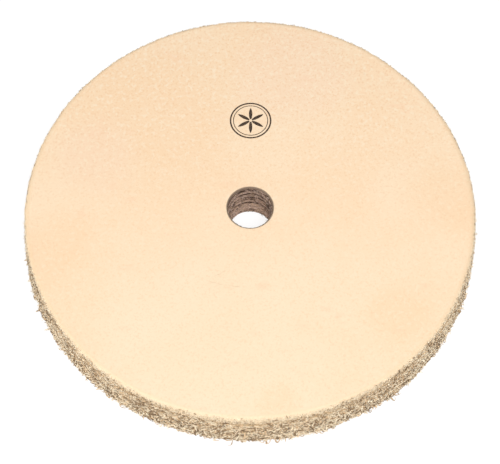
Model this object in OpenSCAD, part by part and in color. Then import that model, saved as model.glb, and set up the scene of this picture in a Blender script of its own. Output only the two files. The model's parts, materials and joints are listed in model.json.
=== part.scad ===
// Laminated leather polishing wheel for a bench grinder or lapidary arbor.
// Four leather discs are glued face to face, then the stack is bored through and its rim turned true.
// The origin is on the wheel's axis in the plane of the back face, and +Z points out of the front face.
// All sizes are in millimetres.

/* [Wheel] */
// Outer diameter of the turned rim
wheel_d = 200; // [80:1:400]
// Diameter of the arbor bore
bore_d = 20; // [8:0.1:50]

/* [Leather] */
// Thickness of the front and back plies, which show their grain side
face_ply_t = 5.65; // [3:0.05:9]
// Thickness of each of the two core plies
core_ply_t = 5.65; // [3:0.05:9]
// Thickness of the glue film between two plies
glue_t = 0.1; // [0.05:0.01:0.4]

/* [Edges] */
// Radius that truing leaves on the rim corner of the front and back faces
rim_round = 1.8; // [0.5:0.1:2.5]
// Radius on the bore corner of the front and back faces
bore_round = 0.5; // [0.2:0.05:1]
// Radius on a ply's corners along a glue line, which opens as a fine groove in the rim and the bore
seam_round = 0.35; // [0.1:0.05:0.8]

/* [Hidden] */
$fn = 96;

wheel_r = wheel_d / 2;
bore_r = bore_d / 2;

// A face ply's outer corners leave at least this height of straight wall above its seam corner
least_wall = 0.2;
widest_corner = face_ply_t - seam_round - least_wall;
rim_corner = min(rim_round, widest_corner);
bore_corner = min(bore_round, widest_corner);

// Heights of the plies' lower faces, stacked up from the back face at zero
back_ply_z = 0;
back_core_z = back_ply_z + face_ply_t + glue_t;
front_core_z = back_core_z + core_ply_t + glue_t;
front_ply_z = front_core_z + core_ply_t + glue_t;

leather_grain = [0.94, 0.83, 0.68];
leather_core = [0.80, 0.69, 0.53];
glue_amber = [0.45, 0.31, 0.17];

// What rounding a corner to radius r takes away. The corner is at the origin, and step_x and step_z, each
// 1 or -1, say which way the section lies from it.
module corner_waste(r, step_x, step_z) {
    scale([step_x, step_z])
        difference() {
            square(r);
            translate([r, r]) circle(r);
        }
}

// Half section of one ply from the bore to the rim, with its own radius on each corner
module ply_section(t, bore_low, bore_high, rim_low, rim_high) {
    difference() {
        translate([bore_r, 0]) square([wheel_r - bore_r, t]);
        translate([bore_r, 0]) corner_waste(bore_low, 1, 1);
        translate([bore_r, t]) corner_waste(bore_high, 1, -1);
        translate([wheel_r, 0]) corner_waste(rim_low, -1, 1);
        translate([wheel_r, t]) corner_waste(rim_high, -1, -1);
    }
}

// Outer leather ply, lying with its grain side up and its glued flesh side at zero
module face_ply() {
    rotate_extrude() ply_section(face_ply_t, seam_round, bore_corner, seam_round, rim_corner);
}

// Inner leather ply, glued on both sides
module core_ply() {
    rotate_extrude() ply_section(core_ply_t, seam_round, seam_round, seam_round, seam_round);
}

// Glue film, which covers exactly the flat faces of the two plies that it joins
module glue_film() {
    rotate_extrude()
        translate([bore_r + seam_round, 0])
            square([wheel_r - bore_r - 2 * seam_round, glue_t]);
}

module front_ply() {
    color(leather_grain) translate([0, 0, front_ply_z]) face_ply();
}

module front_core_ply() {
    color(leather_core) translate([0, 0, front_core_z]) core_ply();
}

module back_core_ply() {
    color(leather_core) translate([0, 0, back_core_z]) core_ply();
}

module back_ply() {
    color(leather_grain) translate([0, 0, back_ply_z + face_ply_t]) mirror([0, 0, 1]) face_ply();
}

module front_glue_film() {
    color(glue_amber) translate([0, 0, front_ply_z - glue_t]) glue_film();
}

module middle_glue_film() {
    color(glue_amber) translate([0, 0, front_core_z - glue_t]) glue_film();
}

module back_glue_film() {
    color(glue_amber) translate([0, 0, back_core_z - glue_t]) glue_film();
}

front_ply();
front_core_ply();
back_core_ply();
back_ply();
front_glue_film();
middle_glue_film();
back_glue_film();
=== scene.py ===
"""Looks for a laminated leather polishing wheel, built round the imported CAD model.

Everything is in metres in the model's own frame: the origin is on the bore's axis in the plane of the back
face, and +Z points out of the front face.
"""

import json
import math

import bpy
import numpy as np
from mathutils import Matrix, Vector


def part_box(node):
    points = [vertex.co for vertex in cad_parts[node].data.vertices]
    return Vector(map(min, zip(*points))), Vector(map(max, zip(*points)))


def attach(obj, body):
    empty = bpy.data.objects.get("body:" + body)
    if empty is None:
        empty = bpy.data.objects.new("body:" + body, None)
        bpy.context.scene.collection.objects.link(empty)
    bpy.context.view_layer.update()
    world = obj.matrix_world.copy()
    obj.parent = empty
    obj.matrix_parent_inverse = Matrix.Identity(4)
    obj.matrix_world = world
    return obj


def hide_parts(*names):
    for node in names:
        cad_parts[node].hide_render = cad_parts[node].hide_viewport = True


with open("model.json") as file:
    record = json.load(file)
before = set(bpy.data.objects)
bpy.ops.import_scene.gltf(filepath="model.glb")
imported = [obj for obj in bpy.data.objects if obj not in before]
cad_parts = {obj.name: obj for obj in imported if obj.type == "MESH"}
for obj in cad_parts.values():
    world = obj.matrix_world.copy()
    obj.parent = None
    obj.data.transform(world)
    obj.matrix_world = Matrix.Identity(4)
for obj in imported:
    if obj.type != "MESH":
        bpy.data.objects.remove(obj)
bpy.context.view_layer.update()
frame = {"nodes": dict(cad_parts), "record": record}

MM = 0.001
TAU = 2 * math.pi

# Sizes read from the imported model
PLIES = ["front_ply", "front_core_ply", "back_core_ply", "back_ply"]
FILMS = ["front_glue_film", "middle_glue_film", "back_glue_film"]
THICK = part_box("front_ply")[1].z
WHEEL_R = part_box("front_ply")[1].x
BORE_R = [m for m in frame["record"]["mounts"] if m["name"] == "arbor_bore"][0]["dims"]["r_mm"] * MM

# Corner radii, the same as in the CAD source
RIM_ROUND = 1.8 * MM
BORE_ROUND = 0.5 * MM
SEAM_ROUND = 0.35 * MM

# Points round a ring of the mesh at the bore; the count doubles outwards, at each of these radii
BORE_POINTS = 224
DOUBLE_AT = [25 * MM, 97 * MM]
# Steps between the rings of an open face, from the bore outwards, and the rings of a hidden one
FACE_STEPS = [0.7 * MM, 2.4 * MM, 1.2 * MM]
HIDDEN_RADII = (24 * MM, 60 * MM, 96 * MM)

# How far the torn fibres lift and sink the trued rim, for each ply from the front to the back
RIM_RELIEF = {"front_ply": 0.22 * MM, "front_core_ply": 0.36 * MM, "back_core_ply": 0.42 * MM,
              "back_ply": 0.46 * MM}
# How far the raised nap swells the rim beyond the trued radius, at these parts of the way from front to back
SWELL_AT = [0.0, 0.12, 0.30, 0.55, 0.80, 0.94, 1.0]
SWELL = [0.0, 0.0, 0.12 * MM, 0.34 * MM, 0.66 * MM, 0.96 * MM, 1.00 * MM]
# Rings that the cutter left round the bore's wall, as depth below the front face, half width and strength:
# dark grooves with painted shade, and paler ridges between some of them with a painted highlight
BORE_GROOVES = [(2.4 * MM, 1.1 * MM, 1.0), (5.9 * MM, 1.0 * MM, 0.9), (9.2 * MM, 1.1 * MM, 1.0),
                (11.0 * MM, 0.7 * MM, 0.4), (14.0 * MM, 1.1 * MM, 0.7), (21.4 * MM, 0.8 * MM, 0.6)]
BORE_RIDGES = [(4.2 * MM, 1.0 * MM, 1.0), (7.6 * MM, 1.0 * MM, 1.0), (12.3 * MM, 0.9 * MM, 0.7),
               (17.2 * MM, 1.4 * MM, 1.0)]
BORE_RELIEF = 0.24 * MM
FACE_RELIEF = 0.10 * MM
# Slow waves of the grain face, as share of the relief, size and shift
FACE_WAVES = [(0.7, 34 * MM, 0.0), (0.3, 13 * MM, 7.7)]
# A slow waver of the rim's radius
WAVER = 0.18 * MM


# ---------------------------------------------------------------- noise

class Noise:
    """Smooth lattice noise between about -1 and 1, the same on every run for the same seed."""
    SIZE = 4096  # a power of two

    def __init__(self, seed):
        self.table = np.random.RandomState(seed).uniform(-1, 1, self.SIZE)

    def __call__(self, p):
        cell = np.floor(p).astype(np.int64)
        f = p - cell
        f = f * f * (3 - 2 * f)
        total = np.zeros(p.shape[:-1])
        for dx in (0, 1):
            for dy in (0, 1):
                for dz in (0, 1):
                    h = (((cell[..., 0] + dx) * 73856093) ^ ((cell[..., 1] + dy) * 19349663)
                         ^ ((cell[..., 2] + dz) * 83492791)) & (self.SIZE - 1)
                    w = (np.where(dx, f[..., 0], 1 - f[..., 0]) * np.where(dy, f[..., 1], 1 - f[..., 1])
                         * np.where(dz, f[..., 2], 1 - f[..., 2]))
                    total += w * self.table[h]
        return total


def stretched(noise, p, along, across):
    """Noise with features this long round the wheel and this long up its axis, in metres."""
    return noise(p / np.array([along, along, across]))


def smoothstep(low, high, x):
    """0 below low and 1 above high, with an eased rise between them"""
    t = np.clip((x - low) / (high - low), 0, 1)
    return t * t * (3 - 2 * t)


UP = np.array([0.0, 0.0, 1.0])
face_noise = Noise(11)
torn_noise = Noise(23)
ring_noise = Noise(37)


def face_height(x, y):
    """How far the grain face stands above or below its plane. It fades out towards the rim and the bore."""
    r = np.hypot(x, y)
    p = np.stack([x, y, np.zeros_like(x)], -1)
    lift = sum(share * face_noise(p / size + shift) for share, size, shift in FACE_WAVES)
    fade = smoothstep(BORE_R, BORE_R + 6 * MM, r) * (1 - smoothstep(WHEEL_R - 9 * MM, WHEEL_R - 2 * MM, r))
    return FACE_RELIEF * lift * fade


# ---------------------------------------------------------------- ply meshes

def ring_points(r):
    """How many points a ring of this radius has."""
    return BORE_POINTS * 2 ** sum(r > limit for limit in DOUBLE_AT)


def arc(cx, cz, radius, start, end, steps):
    """Points on an arc of the section, without its first point. Angles are in degrees from +r towards +z."""
    for i in range(1, steps + 1):
        a = math.radians(start + (end - start) * i / steps)
        yield cx + radius * math.cos(a), cz + radius * math.sin(a)


def line(a, b, steps):
    """Points on a straight line of the section, without its first point."""
    for i in range(1, steps + 1):
        t = i / steps
        yield a[0] + (b[0] - a[0]) * t, a[1] + (b[1] - a[1]) * t


def face_radii(start, end):
    """Ring radii across a flat face, closer together near the bore, without the first radius."""
    radii, r = [], start
    while True:
        r += FACE_STEPS[(r >= DOUBLE_AT[0]) + (r >= DOUBLE_AT[1] - 2 * MM)]
        if r > end - FACE_STEPS[-1] / 2:
            return radii + [end]
        radii.append(r)


def ply_section(t, bore_top, rim_top):
    """One ply's closed section as (r, z, zone), with its glued side at zero and its other side at t.
    Zones are hidden, bore, face and rim."""
    s, out = SEAM_ROUND, []
    out += [(r, z, "bore") for r, z in arc(BORE_R + s, s, s, 270, 180, 3)]
    out += [(r, z, "bore") for r, z in line((BORE_R, s), (BORE_R, t - bore_top), 16)]
    out += [(r, z, "bore") for r, z in arc(BORE_R + bore_top, t - bore_top, bore_top, 180, 90, 4)]
    open_face = rim_top > SEAM_ROUND
    low, high = BORE_R + bore_top, WHEEL_R - rim_top
    if open_face:
        out += [(r, t, "face") for r in face_radii(low, high)]
    else:
        out += [(r, t, "hidden") for r in (*HIDDEN_RADII, high)]
    corner_steps = 10 if open_face else 3
    out += [(r, z, "rim") for r, z in arc(high, t - rim_top, rim_top, 90, 0, corner_steps)]
    out += [(r, z, "rim") for r, z in line((WHEEL_R, t - rim_top), (WHEEL_R, s), 12 if open_face else 15)]
    out += [(r, z, "rim") for r, z in arc(WHEEL_R - s, s, s, 0, -90, 3)]
    out += [(r, 0.0, "hidden") for r in (*HIDDEN_RADII[::-1], BORE_R + s)]
    return out


def join_rings(faces, first_a, n_a, first_b, n_b):
    """Faces between two rings whose point counts are equal or differ by a factor of two."""
    if n_a == n_b:
        for i in range(n_a):
            j = (i + 1) % n_a
            faces.append((first_a + i, first_a + j, first_b + j, first_b + i))
        return
    flip = n_a < n_b
    fine, n_fine, coarse, n_coarse = (first_b, n_b, first_a, n_a) if flip else (first_a, n_a, first_b, n_b)
    for i in range(n_coarse):
        j = (i + 1) % n_coarse
        f0, f1, f2 = fine + 2 * i, fine + 2 * i + 1, fine + (2 * i + 2) % n_fine
        c0, c1 = coarse + i, coarse + j
        for tri in ((f0, f1, c0), (f1, c1, c0), (f1, f2, c1)):
            faces.append(tri[::-1] if flip else tri)


def rim_lift(ply, p):
    """Radial lift of the trued rim, from about -1 to 1.3: strings of fibre and torn lumps"""
    if ply == "front_ply":
        return 0.8 * stretched(torn_noise, p, 1.6 * MM, 2.4 * MM)
    strings = 1 - 2.6 * np.abs(stretched(torn_noise, p + 0.1, 3.4 * MM, 0.8 * MM))
    lumps = stretched(torn_noise, p + 0.5, 1.6 * MM, 1.0 * MM)
    return 0.5 * strings + 0.8 * lumps


def rim_swell(z):
    """How far the mass of raised nap stands beyond the trued radius at this height"""
    return np.interp(1 - z / THICK, SWELL_AT, SWELL)


def rim_radial(ply, p, inside):
    """How far the rim stands beyond the trued radius at points p, which lie this far inside the straight
    rim: the ply's torn relief, a slow waver and the swell. Also returns the relief's lift."""
    lift = rim_lift(ply, p)
    fade = 1 - smoothstep(RIM_ROUND - 0.8 * MM, RIM_ROUND, inside)
    waver = WAVER * stretched(torn_noise, p + 2.0, 9 * MM, 30 * MM)
    return (RIM_RELIEF[ply] * lift + waver + rim_swell(p[:, 2])) * fade, lift


def rim_surface(ply, z, radial):
    """Points and unit normals of the rim at these heights, for these unit vectors away from the axis"""
    above, below = np.maximum(z - (THICK - RIM_ROUND), 0), np.maximum(RIM_ROUND - z, 0)
    drop = RIM_ROUND - np.sqrt(RIM_ROUND ** 2 - (above + below) ** 2)
    trued = radial * (WHEEL_R - drop)[:, None] + UP * z[:, None]
    rise = (above / RIM_ROUND)[:, None]
    normal = radial * np.sqrt(1 - rise ** 2) + UP * rise
    return trued + radial * rim_radial(ply, trued, drop)[0][:, None], normal


def ring_lines(p, rings):
    """A ring's strength along its middle and 0 beyond its width, at points p of the bore. Rings waver."""
    depth = THICK - p[:, 2] + 0.3 * MM * stretched(ring_noise, p + 0.7, 4 * MM, 9 * MM)
    total = np.zeros(len(p))
    for middle, half, strength in rings:
        total = np.maximum(total, strength * (1 - smoothstep(0.2 * half, half, np.abs(depth - middle))))
    return total


def bore_lift(p):
    """Lift of the bore's wall: the cutter's rings, broken up by fibre"""
    fine_rings = 1 - 2.8 * np.abs(stretched(ring_noise, p, 16 * MM, 0.9 * MM))
    fibre = stretched(ring_noise, p + 0.4, 1.6 * MM, 0.55 * MM)
    rings = 0.5 * ring_lines(p, BORE_RIDGES) - 0.9 * ring_lines(p, BORE_GROOVES)
    return 0.40 * fine_rings + 0.4 * fibre + rings


def build_ply(name):
    """A detailed leather ply in the place of the CAD node of the same name."""
    low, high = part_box(name)
    t = high.z - low.z
    outer = name in ("front_ply", "back_ply")
    section = ply_section(t, BORE_ROUND if outer else SEAM_ROUND, RIM_ROUND if outer else SEAM_ROUND)
    upside_down = name == "back_ply"
    points, relief, starts, counts = [], [], [], []
    total = 0
    for r, z, zone in section:
        n = ring_points(r)
        angle = np.arange(n) * (TAU / n)
        height = (high.z - z) if upside_down else (low.z + z)
        p = np.stack([r * np.cos(angle), r * np.sin(angle), np.full(n, height)], -1)
        lift = np.zeros(n)
        radial = np.zeros(n)
        if zone == "rim":
            radial, lift = rim_radial(name, p, WHEEL_R - r if outer else 0.0)
        elif zone == "bore":
            lift = bore_lift(p)
            radial = -BORE_RELIEF * lift * smoothstep(0, 0.4 * MM, BORE_R + 0.45 * MM - r)
        elif zone == "face":
            lift_z = face_height(p[:, 0], p[:, 1])
            p[:, 2] += np.abs(lift_z) if upside_down else lift_z  # the back face never dips into the floor
        p[:, :2] *= (1 + radial / r)[:, None]
        points.append(p)
        relief.append(lift)
        starts.append(total)
        counts.append(n)
        total += n
    faces = []
    for k in range(len(section)):
        b = (k + 1) % len(section)
        join_rings(faces, starts[k], counts[k], starts[b], counts[b])
    if not upside_down:
        faces = [f[::-1] for f in faces]
    obj = mesh_object(name + "_leather", np.concatenate(points), faces)
    # the material paints light on the relief's ridges and shade in its hollows
    paint(obj, "relief", np.concatenate(relief))
    return obj


def link_mesh(name, mesh, smooth=True):
    """A new object that shows this mesh"""
    mesh.update()
    mesh.polygons.foreach_set("use_smooth", [smooth] * len(mesh.polygons))
    obj = bpy.data.objects.new(name, mesh)
    bpy.context.scene.collection.objects.link(obj)
    return obj


def mesh_object(name, points, faces, smooth=True):
    """A mesh object from points and faces of any number of corners"""
    mesh = bpy.data.meshes.new(name)
    mesh.from_pydata(points.tolist(), [], faces)
    return link_mesh(name, mesh, smooth)


def mesh_from_rows(name, points, rows):
    """A mesh object from arrays of faces, each array with its own number of corners"""
    mesh = bpy.data.meshes.new(name)
    mesh.vertices.add(len(points))
    mesh.vertices.foreach_set("co", points.ravel())
    corners = np.concatenate([r.ravel() for r in rows])
    sizes = np.concatenate([np.full(len(r), r.shape[1]) for r in rows])
    mesh.loops.add(len(corners))
    mesh.loops.foreach_set("vertex_index", corners)
    mesh.polygons.add(len(sizes))
    mesh.polygons.foreach_set("loop_start", np.concatenate([[0], np.cumsum(sizes)[:-1]]))
    mesh.update(calc_edges=True)
    return link_mesh(name, mesh)


def paint(obj, name, values):
    """A number for each point of the mesh, which a material can read."""
    attribute = obj.data.attributes.new(name, "FLOAT", "POINT")
    attribute.data.foreach_set("value", np.asarray(values, np.float32))


# ---------------------------------------------------------------- nap

class Strands:
    """A kind of loose strand. Lengths and widths are in millimetres and angles in degrees: curl is how far
    round a strand bends, leave the angle at which it leaves the surface (90 points straight out), upright
    how much it runs up and down instead of along, and kink how crooked it is."""

    def __init__(self, length, width, curl, leave, upright, steps, sides, flat, kink=0.30):
        self.length, self.width, self.curl, self.leave = length, width, curl, leave
        self.upright, self.steps, self.sides, self.flat, self.kink = upright, steps, sides, flat, kink


def flakes(length, width, leave, upright=0.5):
    """Torn flakes that bend round by up to two thirds of a turn"""
    return Strands(length, width, (40, 230), leave, upright, steps=5, sides=4, flat=0.42)


def curls(length, width, leave):
    """Long shavings that curl right round"""
    return Strands(length, width, (220, 400), leave, 0.5, steps=10, sides=4, flat=0.42)


def slivers(length, width, leave):
    """Wide, nearly straight splinters"""
    return Strands(length, width, (0, 70), leave, 0.6, steps=5, sides=4, flat=0.35)


def strings(length, width, leave):
    """Long strings that lie along the rim"""
    return Strands(length, width, (-8, 30), leave, 0.10, steps=6, sides=4, flat=0.6, kink=0.10)


def fibres(length, width, leave, upright=0.6):
    """Fine single fibres"""
    return Strands(length, width, (20, 220), leave, upright, steps=4, sides=3, flat=0.8)


# Loose strands on each ply's rim: how many of each kind there are round the wheel
NAP = {
    "front_ply": [(300, flakes((0.6, 1.6), (0.25, 0.50), (15, 60), 1.0)),
                  (400, fibres((0.5, 1.5), (0.06, 0.15), (10, 70), 1.3))],
    "front_core_ply": [(800, flakes((1.0, 2.4), (0.35, 0.80), (25, 90))),
                       (80, curls((2.0, 4.0), (0.30, 0.60), (50, 120))),
                       (340, strings((2.5, 6.5), (0.28, 0.50), (3, 15))),
                       (500, fibres((0.8, 2.4), (0.07, 0.18), (30, 110)))],
    "back_core_ply": [(1250, flakes((1.1, 2.8), (0.50, 1.10), (25, 95))),
                      (190, curls((3.4, 6.4), (0.50, 0.90), (45, 120))),
                      (620, slivers((1.6, 3.6), (0.55, 1.2), (15, 55))),
                      (320, strings((3.0, 8.0), (0.32, 0.60), (3, 17))),
                      (500, fibres((0.8, 2.6), (0.07, 0.20), (30, 120)))],
    "back_ply": [(1500, flakes((1.2, 3.0), (0.55, 1.20), (25, 100))),
                 (260, curls((3.6, 6.8), (0.55, 0.95), (50, 125))),
                 (760, slivers((1.6, 4.0), (0.60, 1.3), (15, 60))),
                 (340, strings((3.0, 8.5), (0.32, 0.65), (3, 17))),
                 (500, fibres((0.8, 2.8), (0.07, 0.20), (30, 125)))],
}
# Short tufts that cover each ply's rim: how many, their lengths and widths in millimetres, how far they
# slant up or down in radians, how pale they are and how far their tones differ
TUFTS = {
    "front_ply": (12500, (0.5, 1.3), (0.20, 0.46), 1.2, 0.90, 3.0),
    "front_core_ply": (10500, (0.8, 1.9), (0.28, 0.60), 0.6, 0.85, 3.3),
    "back_core_ply": (8500, (0.9, 2.2), (0.34, 0.76), 0.5, 0.70, 5.0),
    "back_ply": (8000, (0.9, 2.4), (0.36, 0.84), 0.5, 0.64, 5.6),
}
# Neighbouring tufts form locks of one tone; how much the lock and how much the tuft itself sets its tone
LOCK_SIZE = (0.85 * MM, 0.85 * MM, 0.95 * MM)
LOCK_SHARE = 0.75
STRAY_SHARE = 0.35
# How bare and shaded the thatch is beside each glue line, from front to back
GLUE_SHADE = [1.0, 0.9, 1.8]
# How much darker the thatch is beside a glue line, how far painted shade darkens it at the foot, and how far
# painted light makes it paler at the top
GLUE_TONE, FOOT_PAINTED_SHADE, TOP_PAINTED_LIGHT = 0.30, 0.45, 0.35
# Size of the stretches where the glue lines lie bare, and the share of the tufts that is missing there
BARE_SIZE = 11 * MM
BARE_SHARE = 0.85
CLUMP_SIZE = 6 * MM  # loose strands grow in clumps of this size
ROOT_DEPTH = 0.10 * MM  # how far below the surface strands start
STRAND_PALE = 1.1
NAP_SEED = 100
# Loose strands at the very foot of the rim, which break up its outline: how many there are of each kind, the
# heights that they start between and how pale they are
FOOT_NAP = [(300, flakes((1.2, 2.8), (0.45, 0.95), (35, 105))),
            (230, curls((4.0, 7.4), (0.60, 1.0), (55, 115)))]
FOOT_BAND = (0.55 * MM, 2.2 * MM)
# The foot strands are kept dark: painted shade at the foot
FOOT_PALE = 0.38
FLOOR_GAP = 0.45 * MM
NAP_OVERHANG = 1.6 * MM


def strand_paths(rng, roots, out, kind, low, high):
    """Centrelines of strands that start at roots and leave towards out, as an array of strand, step, xyz"""
    n = len(roots)
    along = np.cross(UP, out) * rng.choice([-1.0, 1.0], n)[:, None]
    tilt = rng.normal(0, kind.upright, n)[:, None]
    along = along * np.cos(tilt) + UP * np.sin(tilt)
    length = rng.uniform(*kind.length, n) * rng.uniform(0.6, 1.0, n) * MM
    turn = np.radians(rng.uniform(*kind.curl, n))
    start = np.radians(rng.uniform(*kind.leave, n))
    drift = rng.normal(-0.1, 0.4, n)[:, None]
    kink = np.cumsum(rng.normal(0, kind.kink, (n, kind.steps)), 1)
    path = [roots]
    for i in range(kind.steps):
        a = (start - turn * (i + 0.5) / kind.steps + kink[:, i])[:, None]
        d = along * np.cos(a) + out * np.sin(a) + UP * drift
        d /= np.linalg.norm(d, axis=1)[:, None]
        path.append(path[-1] + d * (length / kind.steps)[:, None])
    path = np.stack(path, 1)
    path[..., 2] = np.clip(path[..., 2], low, high)
    return path


def strand_tubes(rng, path, out, kind, pale=STRAND_PALE):
    """Points, faces and the numbers tip and tone of flattened tubes round these centrelines, closed at both
    ends. Every strand has a tone of its own, and painted shade darkens the side that it turns down and out."""
    n, rings, k = len(path), kind.steps + 1, kind.sides
    s = np.linspace(0, 1, rings)
    torn = rng.uniform(0.6, 1.25, (n, rings))
    width = rng.uniform(*kind.width, n)[:, None] * MM * torn * (1 - 0.8 * s ** 2)
    tangent = np.gradient(path, axis=1)
    tangent /= np.linalg.norm(tangent, axis=2)[..., None] + 1e-12
    lean = out[:, None] + rng.normal(0, 0.45, (n, 1, 3))
    side = np.cross(tangent, lean)
    side /= np.linalg.norm(side, axis=2)[..., None] + 1e-12
    flat = np.cross(tangent, side)
    around = (np.arange(k) * TAU / k)[:, None]
    way = side[:, :, None] * np.cos(around) + flat[:, :, None] * np.sin(around)
    half = 0.5 * width[..., None, None]
    ring = path[:, :, None] + half * (side[:, :, None] * np.cos(around)
                                      + flat[:, :, None] * np.sin(around) * kind.flat)
    ring[..., 2] = np.maximum(ring[..., 2], 0.05 * MM)
    index = np.arange(n * rings * k).reshape(n, rings, k)
    a, b = index[:, :-1], index[:, 1:]
    walls = np.stack([a, np.roll(a, -1, 2), np.roll(b, -1, 2), b], -1).reshape(-1, 4)
    caps = np.concatenate([index[:, 0, ::-1], index[:, -1]])
    # painted shade on the side of each strand that turns down and out
    tone = rng.beta(3.0, 1.0, n)[:, None, None] * pale * (1 - 0.85 * underside_shade(way, out))
    tip = np.broadcast_to(s[None, :, None], (n, rings, k))
    return ring.reshape(-1, 3), walls, caps, tip.ravel(), tone.ravel()


def underside_shade(way, out):
    """How far each way out of a strand's centre points down and outward, from 0 to 1: the strength of the
    painted shade on its underside
    """
    downward = (0.6 * out - 0.8 * UP)[:, None, None]
    return np.clip((way * downward).sum(-1) + 0.25, 0, 1)


def tuft_spikes(rng, roots, out, shade, lengths, widths, slant, pale, contrast):
    """Points, faces, tip and tone of short three-sided spikes, bent once, that overlap like thatch, with
    painted shade on their undersides
    """
    n = len(roots)
    along = np.cross(UP, out)
    along /= np.linalg.norm(along, axis=1)[:, None] + 1e-12
    tilt = rng.normal(0, slant, n)[:, None]
    along = along * np.cos(tilt) + np.cross(out, along) * np.sin(tilt)
    along = along * rng.choice([-1.0, 1.0], n)[:, None]
    leave = np.radians(rng.uniform(12, 50, n))[:, None]
    settle = leave - np.radians(rng.uniform(5, 55, n))[:, None]
    length = (rng.uniform(*lengths, n) * MM)[:, None]
    bend = roots + (along * np.cos(leave) + out * np.sin(leave)) * length * 0.5
    tip = bend + (along * np.cos(settle) + out * np.sin(settle)) * length * 0.5
    side = np.cross(along, out + rng.normal(0, 0.5, (n, 3)))
    side /= np.linalg.norm(side, axis=1)[:, None] + 1e-12
    flat = np.cross(along, side)
    around = (np.arange(3) * TAU / 3)[:, None]
    way = side[:, None] * np.cos(around) + flat[:, None] * np.sin(around)
    half = (0.5 * rng.uniform(*widths, n) * MM)[:, None, None]
    shape = half * (side[:, None] * np.cos(around) + flat[:, None] * np.sin(around) * 0.6)
    points = np.concatenate([roots[:, None] + shape * 0.8, bend[:, None] + shape, tip[:, None]], 1)
    points[..., 2] = np.clip(points[..., 2], 0.05 * MM, THICK - 0.02 * MM)
    first = (np.arange(n) * 7)[:, None]
    quads = np.concatenate([first + np.array([i, (i + 1) % 3, 3 + (i + 1) % 3, 3 + i]) for i in range(3)])
    ends = np.concatenate([first + np.array([3 + i, 3 + (i + 1) % 3, 6]) for i in range(3)]
                          + [first + np.array([2, 1, 0])])
    lock = LOCK_SHARE * torn_noise(roots / LOCK_SIZE + 4.0)
    stray = STRAY_SHARE * (rng.beta(1.2, 1.1, n) - 0.5)
    own = np.clip(pale - shade + contrast * (lock + stray), 0, 1.15)[:, None]
    under = underside_shade(way[:, None], out)[:, 0]
    # painted shade on the side of each spike that turns down and out
    tone = own * (1 - 0.55 * np.concatenate([under, under, under.mean(1, keepdims=True)], 1))
    along_it = np.broadcast_to([0.0, 0.0, 0.0, 0.5, 0.5, 0.5, 1.0], (n, 7))
    return points.reshape(-1, 3), quads, ends, along_it.ravel(), tone.ravel()


def strands_object(name, parts):
    """One mesh of many strands, given as lists of points, two arrays of faces, tip and tone"""
    points, rows, tip, tone, first = [], [], [], [], 0
    for p, faces, ends, t, c in parts:
        points.append(p)
        rows += [faces + first, ends + first]
        tip.append(t)
        tone.append(c)
        first += len(p)
    obj = mesh_from_rows(name, np.concatenate(points), rows)
    paint(obj, "tip", np.concatenate(tip))
    # tone holds each strand's own tone, with the painted shade and light of the nap in it
    paint(obj, "tone", np.concatenate(tone))
    return obj


def scatter(rng, ply, count, low, high):
    """Roots on a ply's rim between two heights, just under its surface, with the surface's normals"""
    angle, z = rng.uniform(0, TAU, count), rng.uniform(low, high, count)
    points, out = rim_surface(ply, z, np.stack([np.cos(angle), np.sin(angle), np.zeros(count)], -1))
    return points - out * ROOT_DEPTH, out


def glue_nearness(z):
    """How bare and shaded the rim is beside a glue line, fading to 0 a millimetre away"""
    near = np.zeros(len(z))
    for film, strength in zip(FILMS, GLUE_SHADE):
        middle = (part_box(film)[0].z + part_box(film)[1].z) / 2
        near = np.maximum(near, strength * (1 - smoothstep(0.3 * MM, 1.1 * MM, np.abs(z - middle))))
    return near


def build_nap(ply, seed):
    """The fibre that truing raised on one ply's rim: a thatch of short tufts, and loose strands that are
    thicker in some places than in others. It hangs over the glue lines above and below. The back ply has a
    second piece of nap, at its foot."""
    rng = np.random.RandomState(seed)
    low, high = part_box(ply)[0].z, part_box(ply)[1].z
    low = max(low + 0.05 * MM, 0.5 * MM)
    high -= 0.60 * MM if ply == "front_ply" else 0.05 * MM
    count, *looks = TUFTS[ply]
    roots, out = scatter(rng, ply, count, low, high)
    beside_glue = glue_nearness(roots[:, 2])
    bare = torn_noise(roots * np.array([1, 1, 0]) / BARE_SIZE + 5.5) > -0.05
    keep = ~(bare & (rng.uniform(0, 1, count) < BARE_SHARE * beside_glue))
    roots, out, beside_glue = roots[keep], out[keep], beside_glue[keep]
    at_foot = 1 - smoothstep(0.9 * MM, 2.2 * MM, roots[:, 2])
    at_top = smoothstep(THICK - 2.6 * MM, THICK - 0.9 * MM, roots[:, 2])
    # painted shade darkens the tufts at the foot and painted light pales them at the top; beside the glue
    # lines they are darker
    shade = GLUE_TONE * beside_glue + FOOT_PAINTED_SHADE * at_foot - TOP_PAINTED_LIGHT * at_top
    parts = [tuft_spikes(rng, roots, out, shade, *looks)]
    lowest, highest = max(low - NAP_OVERHANG, FLOOR_GAP), min(high + NAP_OVERHANG, THICK - 0.5 * MM)
    clump = Noise(seed + 1)
    for count, kind in NAP[ply]:
        roots, out = scatter(rng, ply, count, low, min(high, THICK - RIM_ROUND))
        keep = clump(roots / CLUMP_SIZE) > rng.uniform(-1.3, 0.3, count)
        roots, out = roots[keep], out[keep]
        parts.append(strand_tubes(rng, strand_paths(rng, roots, out, kind, lowest, highest), out, kind))
    naps = [strands_object(ply + "_nap", parts)]
    if ply == "back_ply":
        naps.append(build_foot_nap(rng, lowest, highest))
    return naps


def build_foot_nap(rng, lowest, highest):
    """Loose strands at the foot of the rim, kept between these heights"""
    parts = []
    for count, kind in FOOT_NAP:
        roots, out = scatter(rng, "back_ply", count, *FOOT_BAND)
        path = strand_paths(rng, roots, out, kind, lowest, highest)
        # FOOT_PALE darkens these strands as painted shade at the foot
        parts.append(strand_tubes(rng, path, out, kind, FOOT_PALE))
    return strands_object("foot_nap", parts)


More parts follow.
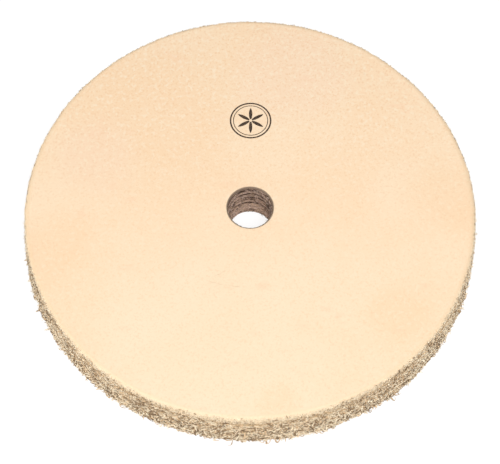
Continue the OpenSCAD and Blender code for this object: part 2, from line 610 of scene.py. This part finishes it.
# Torn chips and fibres on the bore's wall
BORE_CHIPS = [(120, flakes((0.4, 1.4), (0.20, 0.50), (10, 60), 0.4)),
              (160, fibres((0.4, 1.3), (0.05, 0.12), (10, 60)))]
# Where many of the chips cluster: the angle, its spread in radians, the depths in millimetres and the share
CHIP_CLUSTER = math.radians(71)
CLUSTER_SPREAD = 0.22
CLUSTER_DEPTHS = (1.0, 5.0)
CLUSTER_SHARE = 0.4
CHIP_DEPTHS = (1.0, 21.5)
CHIP_SEED = 71
# Short tufts on the bore's wall, with the same numbers as the rim's
BORE_TUFTS = (1900, (0.6, 2.0), (0.10, 0.30), 0.14, 0.48, 2.6)


def build_bore_chips(seed):
    """Short tufts and small torn chips that the cutter left on the bore's wall. Many of the chips are in one
    cluster by the front face."""
    rng = np.random.RandomState(seed)
    parts = []
    for count, kind in BORE_CHIPS:
        clustered = rng.uniform(0, 1, count) < CLUSTER_SHARE
        angle = np.where(clustered, rng.normal(CHIP_CLUSTER, CLUSTER_SPREAD, count),
                         rng.uniform(0, TAU, count))
        depth = MM * np.where(clustered, rng.uniform(*CLUSTER_DEPTHS, count),
                              rng.uniform(*CHIP_DEPTHS, count))
        wall = np.stack([np.cos(angle), np.sin(angle), np.zeros(count)], -1)
        roots = wall * (BORE_R + ROOT_DEPTH) + UP * (THICK - depth)[:, None]
        path = strand_paths(rng, roots, -wall, kind, FLOOR_GAP, THICK - 0.5 * MM)
        parts.append(strand_tubes(rng, path, -wall, kind))
    count, *looks = BORE_TUFTS
    angle, z = rng.uniform(0, TAU, count), rng.uniform(0.7 * MM, THICK - 0.7 * MM, count)
    wall = np.stack([np.cos(angle), np.sin(angle), np.zeros(count)], -1)
    roots = wall * BORE_R + UP * z[:, None]
    # painted shade darkens the tufts in the grooves and a painted highlight pales them on the ridges
    shade = 1.5 * ring_lines(roots, BORE_GROOVES) - 1.0 * ring_lines(roots, BORE_RIDGES)
    roots += wall * (0.06 * MM - BORE_RELIEF * bore_lift(roots))[:, None]
    parts.append(tuft_spikes(rng, roots, -wall, shade, *looks))
    return strands_object("bore_chips", parts)


# ---------------------------------------------------------------- burned mark

MARK_CENTRE = (0.0, 45 * MM)
MARK_R = 9.5 * MM
MARK_LINE = 0.7 * MM
MARK_PROUD = 0.03 * MM
MARK_SUNK = 0.25 * MM
MARK_POINTS = 120
INNER_RING_GAP = 1.5 * MM
PETAL_GAP = 2.7 * MM
PETAL_STEPS = 22


def build_mark():
    """A plain ring round a compass-drawn flower of six petals, burned into the front face."""
    points, faces = [], []

    def strip(a, b, closed):
        """A raised strip between two lines of as many points each"""
        first = len(points)
        n = len(a)
        for (ax, ay), (bx, by) in zip(a, b):
            for x, y in ((ax, ay), (bx, by)):
                z = THICK + float(face_height(np.array([x]), np.array([y]))[0])
                points.append((x, y, z + MARK_PROUD))
                points.append((x, y, z - MARK_SUNK))
        for i in range(n if closed else n - 1):
            p, q = first + 4 * i, first + 4 * ((i + 1) % n)
            faces.extend([(p, p + 2, q + 2, q), (p + 1, q + 1, q + 3, p + 3),
                          (p, q, q + 1, p + 1), (p + 2, p + 3, q + 3, q + 2)])
        if not closed:
            p, q = first, first + 4 * (n - 1)
            faces.extend([(p, p + 1, p + 3, p + 2), (q, q + 2, q + 3, q + 1)])

    cx, cy = MARK_CENTRE
    for radius in (MARK_R, MARK_R - INNER_RING_GAP):
        angles = np.linspace(0, TAU, MARK_POINTS, endpoint=False)
        line_w = MARK_LINE if radius == MARK_R else MARK_LINE * 0.5
        inside = radius - line_w
        inner = [(cx + inside * math.cos(a), cy + inside * math.sin(a)) for a in angles]
        outer = [(cx + radius * math.cos(a), cy + radius * math.sin(a)) for a in angles]
        strip(inner, outer, True)
    petal_r = MARK_R - PETAL_GAP
    for k in range(6):
        turn = TAU * (k + 0.5) / 6
        left, right = [], []
        for s in np.linspace(0.10, 0.97, PETAL_STEPS):
            half = (math.sqrt(petal_r ** 2 - (petal_r * (s - 0.5)) ** 2) - petal_r * math.sqrt(0.75)) * 0.86
            half = max(half, 0.06 * MM)
            for side, sign in ((left, 1), (right, -1)):
                u, v = petal_r * s, sign * half
                side.append((cx + u * math.cos(turn) - v * math.sin(turn),
                             cy + u * math.sin(turn) + v * math.cos(turn)))
        strip(left, right, False)
    return mesh_object("burned_mark", np.array(points), faces, smooth=False)


# ---------------------------------------------------------------- materials

class Nodes:
    """Short ways to add nodes to a material."""

    def __init__(self, name):
        self.material = bpy.data.materials.new(name)
        self.material.use_nodes = True
        self.tree = self.material.node_tree
        self.shader = self.tree.nodes["Principled BSDF"]
        self.place = self.add("ShaderNodeTexCoord").outputs["Object"]
        split = self.add("ShaderNodeSeparateXYZ")
        self.link(self.place, split.inputs[0])
        self.x, self.y, self.z = split.outputs

    def add(self, kind, **settings):
        """A new node of this kind with these properties"""
        node = self.tree.nodes.new(kind)
        for key, value in settings.items():
            setattr(node, key, value)
        return node

    def link(self, a, b):
        """Joins the output a to the input b"""
        self.tree.links.new(a, b)

    def put(self, socket, value):
        """Gives an input a number, a colour or another node's output"""
        if isinstance(value, (int, float)):
            socket.default_value = value
        elif isinstance(value, tuple):
            socket.default_value = value if len(value) == len(socket.default_value) else (*value, 1)
        else:
            self.link(value, socket)

    def math(self, operation, a, b=0.0):
        """One sum on two numbers"""
        node = self.add("ShaderNodeMath", operation=operation)
        self.put(node.inputs[0], a)
        self.put(node.inputs[1], b)
        return node.outputs[0]

    def ramp(self, value, low, high, to_low=0.0, to_high=1.0):
        """value from low to high, eased to run from to_low to to_high"""
        node = self.add("ShaderNodeMapRange", interpolation_type="SMOOTHSTEP")
        for i, v in enumerate((value, low, high, to_low, to_high)):
            self.put(node.inputs[i], v)
        return node.outputs[0]

    def noise(self, scale, detail=3.0, stretch=(1, 1, 1), shift=(0, 0, 0), roughness=0.55):
        """Solid noise in the object's own coordinates, with scale features to the metre"""
        mapping = self.add("ShaderNodeMapping")
        self.link(self.place, mapping.inputs["Vector"])
        mapping.inputs["Scale"].default_value = stretch
        mapping.inputs["Location"].default_value = shift
        node = self.add("ShaderNodeTexNoise")
        self.link(mapping.outputs[0], node.inputs["Vector"])
        self.put(node.inputs["Scale"], scale)
        self.put(node.inputs["Detail"], detail)
        self.put(node.inputs["Roughness"], roughness)
        return node.outputs[0]

    def mix(self, amount, a, b):
        """Colour a where amount is 0 and colour b where it is 1"""
        node = self.add("ShaderNodeMix", data_type="RGBA")
        self.put(node.inputs["Factor"], amount)
        self.put(node.inputs["A"], a)
        self.put(node.inputs["B"], b)
        return node.outputs["Result"]

    def attribute(self, name):
        """A number painted on the mesh's points"""
        return self.add("ShaderNodeAttribute", attribute_name=name).outputs["Fac"]

    def bump(self, height, distance, strength):
        """A normal bumped by this height"""
        node = self.add("ShaderNodeBump")
        self.put(node.inputs["Height"], height)
        self.put(node.inputs["Distance"], distance)
        self.put(node.inputs["Strength"], strength)
        return node.outputs[0]


# Creases in the front face's grain, as the points of each line in millimetres from the axis
CREASES = [[(-22, -34.5), (-14, -37.5), (-4, -39)], [(-15, -34), (-11, -31), (-4, -27)]]

GRAIN = (0.94, 0.705, 0.475)
GRAIN_WARM = (0.92, 0.64, 0.395)
GRAIN_PALE = (0.95, 0.77, 0.56)
GRAIN_PINK = (0.93, 0.69, 0.50)
GRAIN_FLECK = (0.85, 0.55, 0.32)
GRAIN_FLUSH = (0.93, 0.60, 0.40)
FIBRE_PALE = (1.0, 0.88, 0.67)
CUT_PALE = (0.96, 0.78, 0.55)
CUT_LIGHT = (0.86, 0.63, 0.385)
CUT_MID = (0.50, 0.355, 0.205)
CUT_SHADE = (0.27, 0.17, 0.085)
CUT_DARK = (0.13, 0.075, 0.035)
BORE_PALE = (0.88, 0.68, 0.56)
BORE_LIGHT = (0.62, 0.43, 0.325)
BORE_MID = (0.34, 0.22, 0.16)
BORE_MAUVE = (0.48, 0.325, 0.285)
BORE_DARK = (0.06, 0.032, 0.022)
GLUE_DARK = (0.10, 0.055, 0.025)
GLUE_AMBER = (0.26, 0.16, 0.08)
BURN_DARK = (0.035, 0.02, 0.012)
BURN_BROWN = (0.17, 0.10, 0.055)

# How dark each glue line looks in the rim, from front to back
SEAM_DARKNESS = [0.35, 0.25, 0.75]

# Soft patches of tone on the front face: middle and reach in millimetres, tone and strength
FACE_TONES = [((-40, 50), 58, GRAIN_WARM, 0.34), ((22, 74), 34, GRAIN_PINK, 0.50),
              ((-70, 27), 26, GRAIN_PINK, 0.45), ((92, 6), 26, GRAIN_WARM, 0.40),
              ((-12, -60), 72, GRAIN_PALE, 0.45), ((-88, -24), 24, GRAIN_WARM, 0.35),
              ((66, -52), 18, GRAIN_WARM, 0.35), ((12, -92), 12, GRAIN_WARM, 0.35)]


def face_tone(n, cx, cy, reach, strength):
    """A soft patch with a cloudy edge: strength near its middle, falling to 0 at its reach"""
    cloud = n.math("MULTIPLY", n.math("SUBTRACT", n.noise(22, 4, shift=(cx, cy, 3)), 0.5), 1.2 * reach * MM)
    dx, dy = n.math("SUBTRACT", n.x, cx * MM), n.math("SUBTRACT", n.y, cy * MM)
    away = n.math("SQRT", n.math("ADD", n.math("MULTIPLY", dx, dx), n.math("MULTIPLY", dy, dy)))
    return n.ramp(n.math("ADD", away, cloud), reach * MM, 0.35 * reach * MM, 0.0, strength)


def seam_mask(n):
    """Up to 1 along the glue lines, fading out within the groove, ragged, and hidden in places by fibre"""
    wobble = n.math("MULTIPLY", n.math("SUBTRACT", n.noise(700, 3), 0.5), 0.6 * MM)
    z = n.math("ADD", n.z, wobble)
    total = None
    for film, darkness in zip(FILMS, SEAM_DARKNESS):
        middle = (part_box(film)[0].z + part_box(film)[1].z) / 2
        away = n.math("ABSOLUTE", n.math("SUBTRACT", z, middle))
        mask = n.ramp(away, 0.60 * MM, 0.15 * MM, 0.0, darkness)
        total = mask if total is None else n.math("MAXIMUM", total, mask)
    return n.math("MULTIPLY", total, n.ramp(n.noise(130, 3, shift=(8, 3, 1)), 0.38, 0.60, 0.2, 1.0))


def crease_mask(n):
    """1 on the creases, fading to 0 half a millimetre away"""
    wobble = n.math("MULTIPLY", n.math("SUBTRACT", n.noise(260, 3), 0.5), 1.6 * MM)
    wx, wy = n.math("ADD", n.x, wobble), n.math("SUBTRACT", n.y, wobble)
    total = None
    for points in CREASES:
        for (ax, ay), (bx, by) in zip(points, points[1:]):
            ax, ay, bx, by = (v * MM for v in (ax, ay, bx, by))
            length = math.hypot(bx - ax, by - ay)
            ux, uy = (bx - ax) / length, (by - ay) / length
            px, py = n.math("SUBTRACT", wx, ax), n.math("SUBTRACT", wy, ay)
            along = n.math("ADD", n.math("MULTIPLY", px, ux), n.math("MULTIPLY", py, uy))
            across = n.math("ABSOLUTE", n.math("SUBTRACT", n.math("MULTIPLY", px, -uy),
                                               n.math("MULTIPLY", py, -ux)))
            inside = n.math("MULTIPLY", n.ramp(along, -1 * MM, 1 * MM),
                            n.ramp(along, length + 1 * MM, length - 1 * MM))
            mask = n.math("MULTIPLY", inside, n.ramp(across, 0.34 * MM, 0.03 * MM))
            total = mask if total is None else n.math("MAXIMUM", total, mask)
    broken = n.ramp(n.noise(190, 3, shift=(5, 5, 5)), 0.36, 0.62, 0.15, 1.0)
    in_front = n.ramp(n.z, THICK - 1 * MM, THICK - 0.5 * MM)
    return n.math("MULTIPLY", n.math("MULTIPLY", total, broken), in_front)


def grain_color(n, radius, near_rim, crease):
    """Smooth vegetable-tanned grain, with painted shade on the bore's lip and in the creases"""
    color = n.mix(n.ramp(n.noise(28, 4), 0.35, 0.68, 0, 0.45), GRAIN, GRAIN_PALE)
    for (cx, cy), reach, tone, strength in FACE_TONES:
        color = n.mix(face_tone(n, cx, cy, reach, strength), color, tone)
    grainy = n.ramp(n.y, -10 * MM, 60 * MM, 0.55, 1.0)  # the grain shows more in the upper half
    fleck = n.ramp(n.noise(950, 3, shift=(1, 5, 0), roughness=0.7), 0.50, 0.66, 0, 0.60)
    color = n.mix(n.math("MULTIPLY", fleck, grainy), color, GRAIN_FLECK)
    pale_fleck = n.ramp(n.noise(560, 3, shift=(7, 2, 0), roughness=0.7), 0.50, 0.66, 0, 0.95)
    color = n.mix(n.math("MULTIPLY", pale_fleck, grainy), color, GRAIN_PALE)
    flush = n.ramp(n.noise(75, 3, stretch=(1, 1.9, 1), shift=(2, 9, 4)), 0.60, 0.78, 0, 0.30)
    color = n.mix(flush, color, GRAIN_FLUSH)
    color = n.mix(n.math("MULTIPLY", near_rim, 0.35), color, CUT_LIGHT)
    # painted shade along the creases
    color = n.mix(n.math("MULTIPLY", crease, 0.26), color, CUT_MID)
    # painted shade: a dark line on the bore's lip
    lip = n.ramp(radius, BORE_R + 0.85 * MM, BORE_R + 0.35 * MM, 0.0, 0.8)
    return n.mix(lip, color, BORE_DARK)


def cut_color(n, depth, ragged, relief, seam):
    """The torn cut of the rim: suede near the open faces, darker fibre inwards, and painted shade at the
    foot
    """
    streaks = n.noise(1250, 4, stretch=(1, 1, 1.3), roughness=0.7)
    cut = n.mix(n.ramp(streaks, 0.36, 0.60), CUT_SHADE, CUT_LIGHT)
    cut = n.mix(n.ramp(n.noise(260, 4, shift=(1, 2, 6)), 0.42, 0.66, 0, 0.4), cut, CUT_MID)
    # painted light on the raised fibre of the relief, painted shade in its hollows
    cut = n.mix(n.ramp(relief, 0.15, 0.85, 0, 0.75), cut, CUT_LIGHT)
    cut = n.mix(n.ramp(relief, 0.0, -0.70, 0, 0.85), cut, CUT_DARK)
    suede = n.mix(n.ramp(n.noise(1500, 4, stretch=(1, 1, 0.6)), 0.36, 0.62), CUT_MID, CUT_PALE)
    # paler towards the open faces: the suede's own paleness, which also stands in as painted light on the
    # front edge
    suede = n.mix(n.ramp(depth, 4.4 * MM, 0.6 * MM, 0, 0.55), suede, CUT_PALE)
    # painted shade in the suede's hollows
    suede = n.mix(n.ramp(relief, -0.1, -0.6, 0, 0.4), suede, CUT_MID)
    cut = n.mix(n.ramp(n.math("ADD", depth, ragged), 5.8 * MM, 2.8 * MM), cut, suede)
    cut = n.mix(n.ramp(n.z, 12 * MM, 5 * MM, 0, 0.35), cut, CUT_DARK)
    # painted shade at the foot of the rim
    cut = n.mix(n.ramp(n.z, 2.6 * MM, 0.6 * MM, 0, 0.5), cut, CUT_DARK)
    return n.mix(seam, cut, CUT_DARK)


def bore_color(n, depth, relief, seam):
    """The bore's wall, burnished brown with pale streaks; painted shade darkens its grooves and a painted
    highlight its ridges
    """
    rings = n.noise(60, 5, stretch=(1, 1, 14), roughness=0.7)
    bore = n.mix(n.ramp(rings, 0.36, 0.58), BORE_MID, BORE_LIGHT)
    bore = n.mix(n.ramp(n.noise(90, 3, shift=(6, 1, 1)), 0.48, 0.62, 0, 0.5), bore, BORE_MAUVE)
    bore = n.mix(n.ramp(n.noise(420, 4, stretch=(1, 1, 3.0)), 0.50, 0.64, 0, 0.55), bore, BORE_DARK)
    # painted highlight on the ridges of the relief, painted shade in its grooves and hollows
    bore = n.mix(n.ramp(relief, 0.35, 0.95, 0, 0.5), bore, BORE_PALE)
    bore = n.mix(n.ramp(relief, 0.0, -0.70, 0, 0.95), bore, BORE_DARK)
    pale_streak = n.noise(700, 4, stretch=(1, 1, 2.6), shift=(4, 4, 1))
    bore = n.mix(n.ramp(pale_streak, 0.54, 0.66, 0, 0.65), bore, CUT_LIGHT)
    bore = n.mix(n.math("MULTIPLY", seam, 0.25), bore, BORE_DARK)
    # painted shade along the bore's edges by the faces
    edge = n.math("MULTIPLY", n.ramp(depth, 0.9 * MM, 0.45 * MM), 0.8)
    return n.mix(edge, bore, BORE_DARK)


def leather_material(name):
    """Smooth grain on the open faces, torn fibre on the rim and burnished fibre in the bore."""
    n = Nodes(name)
    radius = n.math("SQRT", n.math("ADD", n.math("MULTIPLY", n.x, n.x), n.math("MULTIPLY", n.y, n.y)))
    depth = n.math("SUBTRACT", THICK / 2, n.math("ABSOLUTE", n.math("SUBTRACT", n.z, THICK / 2)))
    near_rim = n.ramp(radius, WHEEL_R - 2.6 * MM, WHEEL_R - 1.3 * MM)
    ragged = n.math("MULTIPLY", n.math("SUBTRACT", n.noise(1700, 4, stretch=(1, 1, 0.4)), 0.5), 2.0 * MM)
    corner_depth = n.math("ADD", depth, n.math("MULTIPLY", ragged, near_rim))
    grain = n.ramp(corner_depth, 1.1 * MM, 0.1 * MM)
    relief, crease, seam = n.attribute("relief"), crease_mask(n), seam_mask(n)

    in_bore = n.ramp(radius, BORE_R + 4 * MM, BORE_R + 2 * MM)
    torn = n.mix(in_bore, cut_color(n, depth, ragged, relief, seam), bore_color(n, depth, relief, seam))
    color = n.mix(grain, torn, grain_color(n, radius, near_rim, crease))
    n.link(color, n.shader.inputs["Base Color"])

    rough = n.mix(grain, (0.93, 0.93, 0.93), (0.52, 0.52, 0.52))
    n.link(rough, n.shader.inputs["Roughness"])
    n.shader.inputs["Specular IOR Level"].default_value = 0.3

    pores = n.noise(2600, 2)
    grain_height = n.math("SUBTRACT", n.math("MULTIPLY", pores, 0.35), crease)
    fibre_height = n.math("MULTIPLY", n.noise(2300, 4, stretch=(1, 1, 1.6)), 3.0)
    height = n.math("ADD", n.math("MULTIPLY", grain_height, grain),
                    n.math("MULTIPLY", fibre_height, n.math("SUBTRACT", 1.0, grain)))
    n.link(n.bump(height, 0.06 * MM, 0.8), n.shader.inputs["Normal"])
    return n.material


def fibre_material(name, pale, light, mid, shade):
    """Loose leather fibre: each strand has its own tone, with painted shade and light in it, and painted
    shade at its root
    """
    n = Nodes(name)
    tone = n.attribute("tone")
    color = n.mix(n.ramp(tone, 0.42, 0.80), light, pale)
    color = n.mix(n.ramp(tone, 0.42, 0.05, 0, 0.95), color, shade)
    color = n.mix(n.ramp(n.noise(1500, 3), 0.54, 0.72, 0, 0.35), color, mid)
    # painted shade at the root of each strand
    color = n.mix(n.ramp(n.attribute("tip"), 0.25, 0.0, 0, 0.6), color, shade)
    n.link(color, n.shader.inputs["Base Color"])
    n.shader.inputs["Roughness"].default_value = 0.8
    n.shader.inputs["Specular IOR Level"].default_value = 0.3
    n.shader.inputs["Sheen Weight"].default_value = 0.15
    n.link(n.bump(n.noise(5000, 2), 0.03 * MM, 0.6), n.shader.inputs["Normal"])
    return n.material


def glue_material():
    """Set contact glue, dull amber with darker and paler runs"""
    n = Nodes("set_glue")
    n.link(n.mix(n.ramp(n.noise(350, 4), 0.35, 0.65), GLUE_DARK, GLUE_AMBER), n.shader.inputs["Base Color"])
    n.shader.inputs["Roughness"].default_value = 0.6
    n.link(n.bump(n.noise(1800, 2), 0.03 * MM, 0.5), n.shader.inputs["Normal"])
    return n.material


def mark_material():
    """Burned leather, uneven where the grain took less heat"""
    n = Nodes("burned_grain")
    patchy = n.ramp(n.noise(1400, 4), 0.44, 0.72)
    n.link(n.mix(patchy, BURN_DARK, BURN_BROWN), n.shader.inputs["Base Color"])
    n.shader.inputs["Roughness"].default_value = 0.75
    n.link(n.bump(n.noise(2600, 2), 0.04 * MM, 0.6), n.shader.inputs["Normal"])
    return n.material


# ---------------------------------------------------------------- object

grain_leather = leather_material("grain_leather")
cut_leather = leather_material("cut_leather")
rim_fibre = fibre_material("rim_fibre", FIBRE_PALE, CUT_LIGHT, CUT_MID, CUT_SHADE)
bore_fibre = fibre_material("bore_fibre", BORE_PALE, BORE_LIGHT, BORE_MAUVE, BORE_DARK)

for i, ply in enumerate(PLIES):
    outer = ply in ("front_ply", "back_ply")
    body = build_ply(ply)
    body.data.materials.append(grain_leather if outer else cut_leather)
    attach(body, "root")
    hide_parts(ply)
    for nap in build_nap(ply, NAP_SEED + 10 * i):
        nap.data.materials.append(rim_fibre)
        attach(nap, "root")

chips = build_bore_chips(CHIP_SEED)
chips.data.materials.append(bore_fibre)
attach(chips, "root")

glue = glue_material()
for film in FILMS:
    node = frame["nodes"][film]
    node.data.materials.clear()
    node.data.materials.append(glue)

mark = build_mark()
mark.data.materials.append(mark_material())
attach(mark, "root")


# ---------------------------------------------------------------- floor, light and camera

FLOOR_HALF = 3.0
FLOOR_BELOW = 0.02 * MM  # keeps the back face out of the floor's own plane
FLOOR_GREY, FLOOR_GLOW = 0.25, 0.82
BACKDROP_R = 2.9
BACKDROP_H = 1.2
BACKDROP_POINTS = 96
BACKDROP_GLOW = 0.93
SKY = 0.39
# Place, diameter in metres and power in watts
KEY_LIGHT = ((0.12, -0.50, 1.15), 0.6, 11.1)
FILL_LIGHT = ((-0.90, -0.70, 0.35), 0.4, 3.3)


def stage_white(name, grey, glow):
    """A plain matt grey that also glows white"""
    n = Nodes(name)
    n.shader.inputs["Base Color"].default_value = (grey, grey, grey, 1)
    n.shader.inputs["Roughness"].default_value = 1.0
    n.shader.inputs["Specular IOR Level"].default_value = 0.0
    n.shader.inputs["Emission Color"].default_value = (1, 1, 1, 1)
    n.shader.inputs["Emission Strength"].default_value = glow
    return n.material


def build_floor():
    """A plain white floor under the wheel"""
    half, low = FLOOR_HALF, -FLOOR_BELOW
    floor = mesh_object("floor", np.array([(-half, -half, low), (half, -half, low), (half, half, low),
                                           (-half, half, low)]), [(0, 1, 2, 3)])
    floor.data.materials.append(stage_white("floor_white", FLOOR_GREY, FLOOR_GLOW))


def build_backdrop():
    """A plain white wall round the floor, which low views look at. It sends no light to the wheel."""
    count = BACKDROP_POINTS
    angle = np.arange(count) * (TAU / count)
    ring = BACKDROP_R * np.stack([np.cos(angle), np.sin(angle), np.zeros(count)], -1) - UP * FLOOR_BELOW
    faces = [(i, (i + 1) % count, count + (i + 1) % count, count + i) for i in range(count)]
    wall = mesh_object("backdrop", np.concatenate([ring, ring + UP * BACKDROP_H]), faces)
    wall.data.materials.append(stage_white("backdrop_white", 0, BACKDROP_GLOW))
    wall.visible_diffuse = wall.visible_glossy = wall.visible_shadow = False


def area_light(name, place, size, power):
    """A soft round light that points at the origin"""
    data = bpy.data.lights.new(name, "AREA")
    data.shape = "DISK"
    data.size = size
    data.energy = power
    obj = bpy.data.objects.new(name, data)
    bpy.context.scene.collection.objects.link(obj)
    obj.location = place
    obj.rotation_euler = (Vector((0, 0, 0)) - Vector(place)).to_track_quat("-Z", "Y").to_euler()


def build_light():
    """An even white sky, a key light above and a low fill light from the front left"""
    world = bpy.data.worlds.new("studio")
    bpy.context.scene.world = world
    world.use_nodes = True
    background = world.node_tree.nodes["Background"]
    background.inputs["Color"].default_value = (1.0, 1.0, 1.0, 1)
    background.inputs["Strength"].default_value = SKY
    area_light("key", *KEY_LIGHT)
    area_light("fill", *FILL_LIGHT)
    bpy.context.scene.view_settings.view_transform = "Standard"


# Lens in millimetres, place and aim in metres from the middle of the front face, roll in degrees
CAMERA_LENS = 117.2
CAMERA_PLACE = (0.0, -0.3402, 0.6381)
CAMERA_AIM = (0.0, -0.01225, 0.0)
CAMERA_ROLL = 0.302


def build_camera():
    """The camera, at the angle that the wheel is seen from"""
    data = bpy.data.cameras.new("camera")
    data.lens = CAMERA_LENS
    data.sensor_width = 36.0
    data.sensor_fit = "HORIZONTAL"
    data.clip_start = 0.01
    obj = bpy.data.objects.new("camera", data)
    bpy.context.scene.collection.objects.link(obj)
    origin = Vector((0, 0, THICK))
    place, aim = origin + Vector(CAMERA_PLACE), origin + Vector(CAMERA_AIM)
    look = (aim - place).to_track_quat("-Z", "Y").to_matrix().to_4x4()
    roll = Matrix.Rotation(math.radians(CAMERA_ROLL), 4, "Z")
    obj.matrix_world = Matrix.Translation(place) @ look @ roll
    bpy.context.scene.camera = obj


build_floor()
build_backdrop()
build_light()
build_camera()
